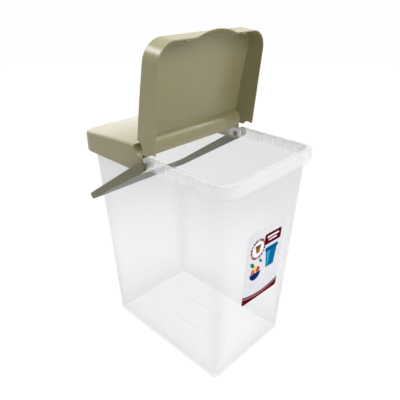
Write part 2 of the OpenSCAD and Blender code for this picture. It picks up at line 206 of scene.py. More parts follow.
CORNER_STEPS = 12
SIDE_YS = [-86, -68, -50, -34, -20, -SEAT_FRONT, -SEAT_FRONT + 0.3, -4, 4,
           SEAT_BACK - 0.3, SEAT_BACK, 24, 38, 54, 70, 86]
END_XS = [-54, -36, -18, 0, 18, 36, 54]
WALL_LEVELS = (40, 90, 150, 210, 260, 284)
WALL_FOOT_OUT, WALL_FOOT_IN = 6, 9                # lowest level on the outer and on the inner face
BEAD_PROFILE = ((0.0, 0.0), (0.15, 0.5), (0.5, 0.8), (1.1, 0.8), (1.45, 0.5), (1.6, 0.0))
ROOT, LIP_EDGE, MOUTH = 1.5, 0.7, 2.6             # radii under the rim, below its band and into the bin
PIVOT_CLEAR = 12                                  # faces nearer to the pivot aren't part of the band
WALL, RIM, FLOOR, BAND, RIB, SHELF = range(6)     # the bin's materials


def bin_ring(half_w, half_l, r, z, seat=0.0, face=False):
    """Rounded rectangle of points at a height.

    Beside the hinge it drops by seat and, if face is set, keeps inside the seat's face.
    """
    spread_y = min(1.0, (half_l - r - 0.5) / 90)
    spread_x = min(1.0, (half_w - r - 0.5) / 58)
    points = []

    def corner(cx, cy, start):
        for k in range(CORNER_STEPS + 1):
            t = start + math.pi / 2 * k / CORNER_STEPS
            points.append((cx + r * math.cos(t), cy + r * math.sin(t), z))

    def side(sign):
        for y in SIDE_YS if sign > 0 else reversed(SIDE_YS):
            inside = -SEAT_FRONT < y < SEAT_BACK
            x = min(half_w, SEAT_X) if inside and face else half_w
            points.append((sign * x, y * spread_y, z - (seat if inside else 0.0)))

    side(1)
    corner(half_w - r, half_l - r, 0)
    points.extend((x * spread_x, half_l, z) for x in reversed(END_XS))
    corner(r - half_w, half_l - r, math.pi / 2)
    side(-1)
    corner(r - half_w, r - half_l, math.pi)
    points.extend((x * spread_x, -half_l, z) for x in END_XS)
    corner(half_w - r, r - half_l, math.pi * 3 / 2)
    return points


def base_ring(inset, z):
    """Ring on the fillet between the wall and the base, set in from the wall's outer face."""
    return bin_ring(BASE_W + SIDE_SLOPE * BASE_EDGE - inset, BASE_L + END_SLOPE * BASE_EDGE - inset,
                    BASE_CORNER - inset, z)


def wall_ring(inset, z):
    """Ring on the tapered wall at a height, set in from its outer face."""
    r = BASE_CORNER + (WALL_CORNER - BASE_CORNER) * z / HEIGHT
    return bin_ring(BASE_W + SIDE_SLOPE * z - inset, BASE_L + END_SLOPE * z - inset, r - inset, z)


def top_ring(inset, z, face=False):
    """Ring around the top of the wall, set in from its outer face, with the seats beside the hinge."""
    return bin_ring(WALL_W - inset, WALL_L - inset, WALL_CORNER - inset, z, SEAT_DROP, face)


def rim_ring(inset, z, seat=SEAT_DROP):
    """Ring on the rim's turned-down band, set in from its outer face."""
    return bin_ring(RIM_W - inset, RIM_L - inset, RIM_CORNER - inset, z, seat, True)


def bin_shape():
    """Bin in one loft: under the base, up the outside, over the rim and down to the bead on the floor."""
    s = Shape()
    flat = 1.0                       # ring beside each fillet that keeps the floor's normals level
    under = HEIGHT - BAND_T
    foot = HEIGHT - BAND_H
    rings = [base_ring(BASE_EDGE + flat, 0)]
    for a in fillet(5):
        rings.append(base_ring(BASE_EDGE * (1 - math.sin(a)), BASE_EDGE * (1 - math.cos(a))))
    for z in (WALL_FOOT_OUT,) + WALL_LEVELS:
        rings.append(wall_ring(0, z))
    for a in fillet(3):
        rings.append(top_ring(-ROOT * (1 - math.cos(a)), under - ROOT * (1 - math.sin(a)), True))
    for a in fillet(3):
        rings.append(rim_ring(BAND_T + 1 - math.sin(a), under - 1 + math.cos(a)))
    for k in range(7):
        t = math.pi * k / 6
        rings.append(rim_ring(BAND_T / 2 * (1 + math.cos(t)), foot + LIP_EDGE * (1 - math.sin(t)), 0))
    for a in fillet(5):
        rings.append(rim_ring(TOP_EDGE * (1 - math.cos(a)), HEIGHT - TOP_EDGE * (1 - math.sin(a))))
    for a in fillet(6):
        rings.append(top_ring(WALL_T - MOUTH * (1 - math.sin(a)), HEIGHT - MOUTH * (1 - math.cos(a))))
    for z in WALL_LEVELS[::-1] + (WALL_FOOT_IN,):
        rings.append(wall_ring(WALL_T, z))
    for a in reversed(fillet(5)):
        rings.append(base_ring(WALL_T + BASE_EDGE * (1 - math.sin(a)),
                               FLOOR_T + BASE_EDGE * (1 - math.cos(a))))
    rings.append(base_ring(WALL_T + BASE_EDGE + flat, FLOOR_T))
    for d, z in ((-flat, 0.0),) + BEAD_PROFILE:
        rings.append(bin_ring(BEAD_W - d, BEAD_L - d, BEAD_CORNER - d, FLOOR_T + z))
    s.loft(rings)
    for side in (-1, 1):
        add_ribs(s, side)
        add_boss(s, side)
    return s


def add_ribs(s, side):
    """Ribs between the wall and the rim's band, along one side."""
    low = HEIGHT - BAND_H
    x0, x1 = sorted((side * (BASE_W + SIDE_SLOPE * low - 0.4), side * (RIM_W - BAND_T + 0.4)))
    for y in (sign * rib for sign in (-1, 1) for rib in RIBS):
        s.box((x0, y - RIB_T / 2, low + 0.5), (x1, y + RIB_T / 2, HEIGHT - BAND_T + 0.02))


def add_boss(s, side):
    """Boss plate inside the wall with its hole, and the ringed tube that carries one pin."""
    wall_x = BOSS_X + BOSS_IN
    low = PIVOT_Z - BOSS_H / 2 + HOLE_R - 0.08
    high = HEIGHT - SEAT_DROP - 0.3
    count = 48

    def hole(x, r):
        return [(side * x, PIVOT_Y + r * math.cos(t), PIVOT_Z + r * math.sin(t))
                for t in (2 * math.pi * k / count for k in range(count))]

    def plate(x, inset):
        """Rectangle around the pivot, with its points in the same directions as the hole's."""
        points = []
        for k in range(count):
            t = 2 * math.pi * k / count
            c, d = math.cos(t), math.sin(t)
            half_y = BOSS_L / 2 - inset + (-PIVOT_Y if c > 0 else PIVOT_Y)
            half_z = (high - inset - PIVOT_Z) if d > 0 else (PIVOT_Z - low - inset)
            reach = min(half_y / max(abs(c), 1e-6), half_z / max(abs(d), 1e-6))
            points.append((side * x, PIVOT_Y + reach * c, PIVOT_Z + reach * d))
        return points

    s.loft([hole(BOSS_X, HOLE_R), plate(BOSS_X, 0.8), plate(BOSS_X + 0.25, 0.25),
            plate(BOSS_X + 0.8, 0), plate(wall_x + 0.6, 0), hole(wall_x + 0.6, HOLE_R)], wrap=True)
    ring_x = SEAT_X + RING_H
    s.lathe([(wall_x + 1.2, HOLE_R), (ring_x - 0.2, HOLE_R), (ring_x, HOLE_R + 0.2),
             (ring_x, RING_R - 0.3), (ring_x - 0.3, RING_R), (SEAT_X - 0.6, RING_R),
             (SEAT_X - 0.6, BOSS_R), (wall_x + 1.2, BOSS_R)],
            PIVOT_Y, PIVOT_Z, wrap=True, side=side)


def bin_part(corners):
    """Which of the bin's materials a face takes."""
    low, high = min(p.z for p in corners), max(p.z for p in corners)
    if low > HEIGHT - SEAT_DROP - 0.3:
        return SHELF
    if low > HEIGHT - BAND_H - 0.9:
        return rim_part(corners, low, high)
    if high > FLOOR_T + BASE_EDGE + 0.1:
        return WALL
    out = min(max(abs(p.x) - BASE_W, abs(p.y) - BASE_L) for p in corners)
    if out > -BASE_EDGE - WALL_T:
        return WALL
    near = max(max(abs(p.x) - BEAD_W, abs(p.y) - BEAD_L) for p in corners) < 0.1
    return RIM if near and low > FLOOR_T - 0.1 and high > FLOOR_T + 0.1 else FLOOR


def rim_part(corners, low, high):
    """Material of a face between the foot of the band and the seats in the rim."""
    if any(all(abs(abs(p.y) - rib) < RIB_T / 2 + 0.1 for p in corners) for rib in RIBS):
        return RIB if high - low > 1 else RIM
    if all(BOSS_X - 0.1 < abs(p.x) < BOSS_X + 0.9 for p in corners):
        return BAND
    out = min(math.hypot(max(abs(p.x) - RIM_W + RIM_CORNER, 0), max(abs(p.y) - RIM_L + RIM_CORNER, 0))
              for p in corners)
    upright = high - low > 2 * BAND_T and high < HEIGHT - TOP_EDGE + 0.1
    clear = min(abs(p.y - PIVOT_Y) for p in corners) > PIVOT_CLEAR
    return BAND if upright and clear and out > RIM_CORNER - 0.5 else RIM


# ---- shell of the cover and the lid ----

COLUMNS = 22                                      # faces on each half of the shell's width
SKIRT_LEVELS = (295.5, BEVEL_TOP, 290.8, BEVEL_END, 285.5, 283.0, 280.7, SKIRT_Z + 0.35, SKIRT_Z)
EDGE_TOP_MIN, EDGE_COVE = 0.8, 1.4                # edge radii: least on the crown, and along the hollow
ROUND_L = 1.2                                     # how far the hollow's rounded edge runs either way


def crown(x, y, cap):
    """Height of the crowned top."""
    return (COVE_Z - CROWN_SIDE * (x / CAP_W) ** 2
            - (CROWN_MID - cap["low"]) * (abs(y) / cap["reach"]) ** CROWN_POWER)


def front_at(z, cap):
    """Where the side skirt starts at a height: it slants back below the pivot."""
    share = min(1.0, max(0.0, (BEVEL_TOP - z) / (BEVEL_TOP - BEVEL_END)))
    return cap["start"] + (cap["low_start"] - cap["start"]) * share


def lip_bump(x, z, inset):
    """How far the finger lip stands out of the front skirt, at a distance in from its face."""
    r = (LIP_HALF ** 2 + LIP_OUT ** 2) / (2 * LIP_OUT)
    rz = r - LIP_OUT * max(0.0, z - SKIRT_Z) / LIP_H - inset
    if abs(x) >= rz:
        return 0.0
    return max(0.0, math.sqrt(rz * rz - x * x) - (r - LIP_OUT) + inset)


def curve(a, b, c, f):
    """Value at a share f of a curve from a to c that is drawn towards b."""
    return a * (1 - f) ** 2 + 2 * b * f * (1 - f) + c * f * f


def cap_sheet(cap, t, lip):
    """One face of the shell, set in by t: its top grid and the skirt around it."""
    w, reach, corner = CAP_W - t, cap["reach"] - t, cap["corner"] - t
    edge_top = max(CAP_EDGE - t, EDGE_TOP_MIN)
    edge_cove = EDGE_COVE - t * 0.2
    radius = COVE_R + t
    tongue, start = cap["tongue"], cap["start"]
    steps = 12

    def cove(y):
        return COVE_Z - radius if y <= COVE_Y else COVE_Z - math.sqrt(radius ** 2 - (y - COVE_Y) ** 2)

    # (y, corner angle or None, edge radius, cove, crown or a share of the curve between them)
    rows = []
    for k in range(4):
        rows.append((tongue + (COVE_Y - tongue) * k / 3, None, edge_cove, cove))
    top_z = crown(0, COVE_Y + radius, cap) - t
    last = math.acos((COVE_Z - top_z + ROUND_L) / radius)
    for k in range(1, steps + 1):
        rows.append((COVE_Y + radius * math.sin(last * k / steps), None, edge_cove, cove))
    y0 = rows[-1][0]                 # the hollow's edge is rounded from y0 to y2
    y1 = COVE_Y + math.sqrt(radius ** 2 - (COVE_Z - top_z) ** 2)
    y2 = y1 + ROUND_L
    for k in range(1, 5):
        f = k / 4
        rows.append((curve(y0, y1, y2, f), None, edge_cove + (edge_top - edge_cove) * f, f))
    for k in range(1, steps + 1):
        rows.append((y2 + (reach - corner - y2) * (k / steps), None, edge_top, crown))
    for k in range(1, steps + 1):
        a = math.pi / 2 * k / steps
        rows.append((reach - corner + (corner - edge_top) * math.sin(a), a, edge_top, crown))

    def height(x, y, kind):
        if kind is cove:
            return cove(y)
        if kind is crown:
            return crown(x, y, cap) - t
        return curve(cove(y0), crown(x, y1, cap) - t, crown(x, y2, cap) - t, kind)

    points, faces = [], []
    grid = []
    for y, a, edge, kind in rows:
        half = w - edge if a is None else w - edge - (corner - edge) * (1 - math.cos(a))
        line = []
        for i in range(-COLUMNS, COLUMNS + 1):
            x = half * i / COLUMNS
            yy = y
            if y < COVE_Y and abs(x) > BARREL_HALF:
                yy = start + (COVE_Y - start) * (y - tongue) / (COVE_Y - tongue)
            line.append(len(points))
            points.append((x, yy, height(x, y, kind)))
        grid.append(line)
    for j in range(len(grid) - 1):
        for i in range(2 * COLUMNS):
            faces.append([grid[j][i], grid[j][i + 1], grid[j + 1][i + 1], grid[j + 1][i]])

    # boundary from the left start, around the far end, to the right start
    left, right = [], []
    for line, (_, a, edge, kind) in zip(grid, rows):
        across, along = (1.0, 0.0) if a is None else (math.cos(a), math.sin(a))
        left.append((line[0], (-across, along), edge, kind))
        right.append((line[-1], (across, along), edge, kind))
    far = [(index, (0.0, 1.0), edge_top, crown) for index in grid[-1][1:-1]]

    foot_in = 0.35 * (1 if t == 0 else -1)
    near = COVE_Y + COVE_R
    strip = []
    for index, n, edge, kind in left + far + right[::-1]:
        px, py, _ = points[index]
        column = [index]
        for a in fillet(5)[1:]:
            out = edge * math.sin(a)
            x, y = px + n[0] * out, py + n[1] * out
            z = height(x, y, kind) - edge * (1 - math.cos(a))
            column.append(len(points))
            points.append((x, y, z))
        for z in SKIRT_LEVELS:
            d = edge - (foot_in if z == SKIRT_Z else 0.0)
            x, y = px + n[0] * d, py + n[1] * d
            f = front_at(z, cap)
            if y < near:
                y = f + (y - start) * (near - f) / (near - start)
            if lip and n[1] > 0.99 and abs(x) < LIP_HALF:
                y += lip_bump(x, z, t)
            column.append(len(points))
            points.append((x, y, z))
        strip.append(column)
    for c in range(len(strip) - 1):
        for k in range(len(strip[0]) - 1):
            faces.append([strip[c][k], strip[c + 1][k], strip[c + 1][k + 1], strip[c][k + 1]])
    return points, faces


def add_cap(s, cap, lip=False):
    """Closed shell between the outer and the inner face."""
    outer, faces = cap_sheet(cap, 0.0, lip)
    inner, _ = cap_sheet(cap, CAP_T, lip)
    n = len(outer)
    uses = {}
    for face in faces:
        for a, b in zip(face, face[1:] + face[:1]):
            uses.setdefault(frozenset((a, b)), []).append((a, b))
    rim = [pairs[0] for pairs in uses.values() if len(pairs) == 1]
    all_faces = list(faces) + [[n + i for i in reversed(face)] for face in faces]
    all_faces += [[b, a, n + a, n + b] for a, b in rim]
    s.add(outer + inner, all_faces)


def add_nubs(s, cap):
    """Snap nubs inside the far skirt: two under the rim's band and two along the skirt's lower edge."""
    high = HEIGHT - BAND_H - NUB_DROP
    far = cap["reach"] - CAP_T / 2
    for side in (-1, 1):
        x0, x1 = side * NUB_X - NUB_W / 2, side * NUB_X + NUB_W / 2
        s.box((x0, RIM_L + 0.1, high - NUB_H), (x1, far, high), NUB_EDGE)
        s.box((x0, RIM_L - 0.5, SKIRT_Z + 0.2), (x1, far, SKIRT_Z + NUB_H), NUB_EDGE)


def add_fin(s, xs, ys):
    """Fin between the rim and the crown over it."""
    low = [(x, y, HEIGHT) for x, y in ((xs[0], ys[0]), (xs[1], ys[0]), (xs[1], ys[1]), (xs[0], ys[1]))]
    high = [(x, y, crown(x, y, COVER) - CAP_T * 0.7) for x, y, _ in low]
    outside = [abs(x) > CAP_W - 1 or y > COVER["reach"] - 1 for x, y, _ in low]
    high = [(x, y, z - (CAP_EDGE if out else 0)) for (x, y, z), out in zip(high, outside)]
    s.loft([low, high])


def add_lug(s, side):
    """Lug that carries one end of the lid's barrel, on its strut under the hollow."""
    end = LUG_X + LUG_T
    s.lathe([(LUG_X, LUG_R - 0.2), (LUG_X + 0.2, LUG_R), (end - 0.2, LUG_R), (end, LUG_R - 0.2)],
            HINGE_Y, HINGE_Z, side=side)
    x0, x1 = sorted((side * LUG_X, side * end))
    s.box((x0, HINGE_Y, TONGUE_Z - CAP_T), (x1, COVE_Y, TONGUE_Z - 0.2), 0.2)


def cover_shape():
    """Fixed cover over the rear half, with its nubs, fins and lugs."""
    s = Shape()
    add_cap(s, COVER)
    add_nubs(s, COVER)
    for side in (-1, 1):
        for i in range(1, FINS + 1):
            xs = sorted((side * (RIM_W - FIN_L), side * (CAP_W - CAP_T / 2)))
            add_fin(s, xs, (FIN_PITCH * i, FIN_PITCH * i + FIN_T))
        xs = sorted((side * FIN_PITCH, side * (FIN_PITCH + FIN_T)))
        add_fin(s, xs, (RIM_L - FIN_L, COVER["reach"] - CAP_T / 2))
        add_lug(s, side)
    return s


def lid_shape():
    """Lid with its hinge barrel, built closed over the rear half, then mirrored and opened."""
    s = Shape()
    add_cap(s, LID, lip=True)
    add_nubs(s, LID)
    end = LUG_X + LUG_T
    half = [(end, STUB_R - 0.3), (end - 0.3, STUB_R), (BARREL_HALF, STUB_R),
            (BARREL_HALF, BARREL_R - 0.3), (BARREL_HALF - 0.3, BARREL_R)]
    s.lathe(half + [(-x, r) for x, r in reversed(half)], -HINGE_Y, HINGE_Z)
    hinge = Matrix.Translation((0, HINGE_Y, HINGE_Z))
    turn = hinge @ Matrix.Rotation(math.radians(-LID_OPEN), 4, "X") @ hinge.inverted()
    return s.moved(turn @ Matrix.Scale(-1, 4, (0, 1, 0)))


# ---- handle ----

THIN_END, THIN_FADE = 6.5, 8                      # where the hub's thinner part ends, and its fade


def handle_angle():
    """Angle below the horizontal at which the crossbar rests on the rear wall."""
    bar_in = HANDLE_L - STRAP_T
    a = bar_in + END_SLOPE * BAR_W / 2
    b = END_SLOPE * bar_in - BAR_W / 2
    d = BASE_L + REST_GAP - PIVOT_Y + END_SLOPE * PIVOT_Z
    return math.atan2(b, a) + math.acos(d / math.hypot(a, b))


def strap_half(y):
    """Half the strap's width at a distance from the pivot."""
    if y < 0:
        return math.sqrt(max(HUB_R ** 2 - y * y, 0.0))
    return HUB_R - (HUB_R - BAR_W / 2) * y / HANDLE_L


def strap_thick(y):
    """The strap's thickness, less at the hub, where a groove shows beside the collar."""
    f = min(1.0, max(0.0, (y - THIN_END) / THIN_FADE))
    return STRAP_T - HUB_THIN * (1 - f * f * (3 - 2 * f))


def arm_face(y):
    """Outer face of a leaning arm at a distance from the pivot."""
    return STRAP_OUT - ARM_LEAN * y / HANDLE_L


def strap_path():
    """Middle line of the right half of the bail: (x, y, direction across the strap)."""
    far = arm_face(HANDLE_L)
    bend_y = HANDLE_L - BAIL_CORNER
    lean = math.atan2(ARM_LEAN, HANDLE_L)
    across = (math.cos(lean), math.sin(lean))
    mid = STRAP_T / 2
    path = []
    for k in range(1, 9):
        y = -HUB_R * math.cos(math.pi / 2 * k / 8)
        path.append((STRAP_OUT - strap_thick(y) / 2, y, across))
    for y in (3, 6.5, 8.5, 10.5, 12.5, 14.5, 20) + tuple(bend_y * k / 14 for k in range(3, 15)):
        path.append((arm_face(y) - strap_thick(y) / 2, y, across))
    cx = far + ARM_LEAN * BAIL_CORNER / HANDLE_L - BAIL_CORNER
    for k in range(1, 11):
        t = math.pi / 2 * k / 10
        r = BAIL_CORNER - mid
        path.append((cx + r * math.cos(t), bend_y + r * math.sin(t), (math.cos(t), math.sin(t))))
    for k in range(1, 7):
        path.append((cx * (1 - k / 6), HANDLE_L - mid, (0.0, 1.0)))
    return path


def strap_section(half, thick):
    """Rounded rectangle of the strap, rounder on its outer side: (across, up) pairs."""
    round_out = min(OUTER_EDGE, half * 0.6, thick - INNER_EDGE - 0.05)
    points = []
    for sx, sz, start in ((1, 1, 0), (-1, 1, 90), (-1, -1, 180), (1, -1, 270)):
        r = round_out if sx > 0 else INNER_EDGE
        for k in range(7):
            t = math.radians(start + 15 * k)
            points.append((sx * (thick / 2 - r) + r * math.cos(t), sz * (half - r) + r * math.sin(t)))
    return points


def add_collar(s, side):
    """Collar beside the hub, and the neck of the pin that turns in the boss."""
    s.lathe([(ARM_X + HUB_THIN + 0.8, GROOVE_R), (COLLAR_OUT, GROOVE_R), (COLLAR_OUT, COLLAR_R - 0.4),
             (COLLAR_OUT - 0.4, COLLAR_R), (COLLAR_IN + 0.4, COLLAR_R), (COLLAR_IN, COLLAR_R - 0.4),
             (COLLAR_IN, PIN_R), (BOSS_X + BOSS_IN, PIN_R)], side=side)


def add_end_ring(s, side):
    """Small raised ring near the far end of an arm."""
    x = arm_face(RING_Y)
    top = x + RING_PROUD
    s.lathe([(x - 0.2, RING_OUT), (top - 0.1, RING_OUT), (top, RING_OUT - 0.2),
             (top, RING_IN + 0.2), (top - 0.1, RING_IN), (x - 0.2, RING_IN)],
            RING_Y, 0, 24, wrap=True, side=side)


def add_snap_head(s, side):
    """Two halves of the pin's inner end and its head, with the slot between them."""
    profile = ((BOSS_X + BOSS_IN + 0.5, PIN_R - 0.02), (HEAD_X, PIN_R - 0.02), (HEAD_X, PIN_R + HEAD_LIP),
               (HEAD_X - HEAD_RIM, PIN_R + HEAD_LIP), (HEAD_X - HEAD_L, PIN_R - 0.4))
    for up in (-1, 1):
        rings = []
        for x, r in profile:
            low = math.asin(SLOT_W / 2 / r)
            turns = [low + (math.pi - 2 * low) * k / 20 for k in range(21)]
            rings.append([(side * x, r * math.cos(t), up * r * math.sin(t)) for t in turns])
        s.loft(rings)


def handle_shape():
    """Bail built flat around its pivot, then hung on the rear wall."""
    s = Shape()
    path = strap_path()
    # the left half mirrors the right one, so its direction across already points outwards
    left = [(-x, y, (-c, d)) for x, y, (c, d) in reversed(path[:-1])]
    s.loft([[(x + ax * u, y + ay * u, v) for u, v in strap_section(strap_half(y), strap_thick(y))]
            for x, y, (ax, ay) in path + left])
    for side in (-1, 1):
        add_collar(s, side)
        add_end_ring(s, side)
        add_snap_head(s, side)
    move = Matrix.Translation((0, PIVOT_Y, PIVOT_Z))
    return s.moved(move @ Matrix.Rotation(-handle_angle(), 4, "X"))


# ---- label ----

PRINT, PAPER = range(2)                           # the label's materials


def label_shape():
    """Label drawn flat around its middle, then laid on the sloping front wall."""
    s = Shape()
    h, w = LABEL_H / 2 - LABEL_CORNER, LABEL_W / 2 - LABEL_CORNER
    outline = []
    for sx, sz, start in ((1, 1, 0), (-1, 1, 90), (-1, -1, 180), (1, -1, 270)):
        for k in range(9):
            t = math.radians(start + 90 / 8 * k)
            x = sx * w
            outline.append((x + LABEL_CORNER * math.cos(t),
                            sz * h - LABEL_SKEW * x / LABEL_W + LABEL_CORNER * math.sin(t)))
    s.loft([[(x, z, height) for x, z in outline] for height in (LABEL_GAP, LABEL_T)])
    tilt = math.pi / 2 + math.atan(END_SLOPE)
    place = Matrix.Translation((LABEL_X, -BASE_L - END_SLOPE * LABEL_Z, LABEL_Z))
    return s.moved(place @ Matrix.Rotation(tilt, 4, "X"))


def label_part(corners):
    """Which of the label's materials a face takes: print on its front, bare paper elsewhere."""
    return PRINT if all(-p.y - BASE_L - END_SLOPE * p.z > LABEL_T / 2 for p in corners) else PAPER


# ---- materials ----

class Nodes:
    """Short way to add linked nodes to the tree of a material or a world."""

    def __init__(self, owner):
        owner.use_nodes = True
        self.owner, self.tree = owner, owner.node_tree

    def find(self, kind):
        return next(n for n in self.tree.nodes if n.type == kind)

    def add(self, kind, inputs=None, **settings):
        node = self.tree.nodes.new(kind)
        for key, value in settings.items():
            setattr(node, key, value)
        for key, value in (inputs or {}).items():
            self.put(node.inputs[key], value)
        return node

    def put(self, socket, value):
        if isinstance(value, bpy.types.NodeSocket):
            self.tree.links.new(value, socket)
        else:
            socket.default_value = value

    def math(self, op, a, b=0.0, clamp=False):
        return self.add("ShaderNodeMath", {0: a, 1: b}, operation=op, use_clamp=clamp).outputs[0]

    def ramp(self, factor, low, high, to_low=0.0, to_high=1.0):
        node = self.add("ShaderNodeMapRange", {"Value": factor, "From Min": low, "From Max": high,
                                               "To Min": to_low, "To Max": to_high})
        return node.outputs["Result"]

    def mix(self, factor, a, b):
        node = self.add("ShaderNodeMix", data_type="RGBA")
        self.put(node.inputs[0], factor)
        self.put(node.inputs[6], a)
        self.put(node.inputs[7], b)
        return node.outputs[2]

    def place(self):
        """The shaded point, in metres."""
        return self.add("ShaderNodeTexCoord").outputs["Object"]

    def axes(self):
        """The shaded point's X, Y and Z."""
        return self.add("ShaderNodeSeparateXYZ", {0: self.place()}).outputs

    def noise(self, scale, detail=3.0):
        return self.add("ShaderNodeTexNoise", {"Vector": self.place(), "Scale": scale, "Detail": detail,
                                               "Roughness": 0.5}).outputs["Fac"]

    def cloud(self, scale, detail, low=0.0, high=1.0):
        """Middle part of a noise, stretched between two values."""
        return self.ramp(self.noise(scale, detail), 0.3, 0.7, low, high)

    def bump(self, height, strength, distance):
        return self.add("ShaderNodeBump", {"Height": height, "Strength": strength,
                                           "Distance": distance}).outputs["Normal"]

    def set(self, **values):
        """Values of the sockets of a material's shader, by name."""
        shader = self.find("BSDF_PRINCIPLED")
        for key, value in values.items():
            self.put(shader.inputs[key.replace("_", " ")], value)


def new_material(name):
    return Nodes(bpy.data.materials.new(name))


def srgb(r, g, b):
    """Colour written as 0 to 255 display values."""
    def linear(c):
        c /= 255
        return c / 12.92 if c <= 0.04045 else ((c + 0.055) / 1.055) ** 2.4
    return (linear(r), linear(g), linear(b), 1.0)


# Painted shade: the wall's colour turns grey at its foot, in its corners and under the rim.
PAINTED_SHADE_GREY = srgb(190, 191, 194)                       # grey of the painted shade at the foot, in the corners and under the rim
PAINTED_SHADE_SHARE = 0.75
CORNER_REACH = 26.0                               # width of the zone where a corner looks thicker and is painted with shade
CORNER_FADE, CORNER_LEAST = (80, 220), 0.3        # heights over which a corner's thickness and painted shade fade, and to what
FOOT_FADE, FOOT_MOST = (-10, 60), 0.85            # heights over which the foot's thickness and painted shade fade, and from what
NECK_FADE, NECK_MOST = (225, 285), 0.8            # heights over which the painted shadow under the rim grows
RIB_ZONE = (30, 112)                              # how far along a side ribs show through the band
RIB_EDGE = (0.09, 0.05)                           # a rib's fade, as shares of the ribs' pitch


def rib_marks(m, at):
    """1 where a rib stands behind the band, fading to 0 beside it."""
    pitch = RIBS[1] - RIBS[0]
    across = m.math("ABSOLUTE", at["Y"])
    count = m.math("MULTIPLY", across, 1 / (pitch * MM))
    turn = m.math("FRACT", m.math("SUBTRACT", count, RIBS[0] / pitch - 0.5))
    apart = m.math("ABSOLUTE", m.math("SUBTRACT", turn, 0.5))
    mark = m.math("MULTIPLY", m.ramp(apart, *RIB_EDGE), m.math("GREATER_THAN", across, RIB_ZONE[0] * MM))
    return m.math("MULTIPLY", mark, m.math("LESS_THAN", across, RIB_ZONE[1] * MM))


def thick_and_shaded_places(m, at):
    """How thick the wall looks at its foot and in its corners, with painted shade, and the painted shadow
    under the rim.
    """
    def between(heights, low, high):
        return m.ramp(at["Z"], heights[0] * MM, heights[1] * MM, low, high)

    def past(axis, base, slope):
        """How far a point lies past the line where a corner begins."""
        start = m.math("ADD", m.math("MULTIPLY", at["Z"], slope), (base - CORNER_REACH) * MM)
        return m.math("SUBTRACT", m.math("ABSOLUTE", at[axis]), start)

    foot = m.math("POWER", between(FOOT_FADE, FOOT_MOST, 0.0), 1.6)
    both = m.math("MINIMUM", past("X", BASE_W, SIDE_SLOPE), past("Y", BASE_L, END_SLOPE))
    corner = m.math("POWER", m.ramp(both, 0.0, CORNER_REACH * MM), 1.5)
    corner = m.math("MULTIPLY", corner, between(CORNER_FADE, 1.0, CORNER_LEAST))
    return m.math("MAXIMUM", foot, corner), between(NECK_FADE, 0.0, NECK_MOST)


def clear_plastic(name, facing, grazing, shade, roughness, gloss, thick=0.0, tone=250, stripes=0.0):
    """Milky plastic, as opaque as facing seen straight on and as grazing seen along its face.

    shade is the least share of light that it stops; thick is how much denser it gets at the foot
    and in the corners, where it also switches on painted shade that greys it there and a painted
    shadow under the rim; stripes is how much denser it gets where a rib stands behind it.
    """
    m = new_material(name)
    colour = m.mix(m.noise(9.0, 4.0), srgb(tone - 2, tone - 2, tone - 1), srgb(tone + 2, tone + 2, tone + 3))
    edge = m.add("ShaderNodeLayerWeight", {"Blend": 0.15}).outputs["Facing"]
    dense = m.ramp(edge, 0.0, 1.0, facing, grazing)
    at = m.axes()
    if stripes:
        dense = m.math("ADD", dense, m.math("MULTIPLY", rib_marks(m, at), stripes))
    if thick:
        places, neck = thick_and_shaded_places(m, at)
        dense = m.math("ADD", dense, m.math("MULTIPLY", places, thick))
        # painted shade and painted shadow: grey mixed into the colour at the foot, in the corners and under
        # the rim
        grey = m.math("MULTIPLY", m.math("MAXIMUM", places, neck), PAINTED_SHADE_SHARE, clamp=True)
        colour = m.mix(grey, colour, PAINTED_SHADE_GREY)
    shadow = m.add("ShaderNodeLightPath").outputs["Is Shadow Ray"]
    m.set(Base_Color=colour, Specular_IOR_Level=gloss)
    m.set(Roughness=m.cloud(25.0, 2.0, roughness, roughness + 0.03))
    m.set(Alpha=m.math("MAXIMUM", dense, m.math("MULTIPLY", shadow, shade)))
    m.set(Normal=m.bump(m.noise(160.0, 2.0), 0.05, 0.0004))
    return m.owner


def olive_plastic(name, base, dark, gloss=0.5):
    """Satin plastic with a fine grain."""
    m = new_material(name)
    m.set(Base_Color=m.mix(m.cloud(14.0, 4.0), base, dark), IOR=1.49, Specular_IOR_Level=gloss)
    m.set(Roughness=m.cloud(90.0, 3.0, 0.28, 0.34))
    m.set(Normal=m.bump(m.noise(1400.0, 2.0), 0.12, 0.0002))
    return m.owner


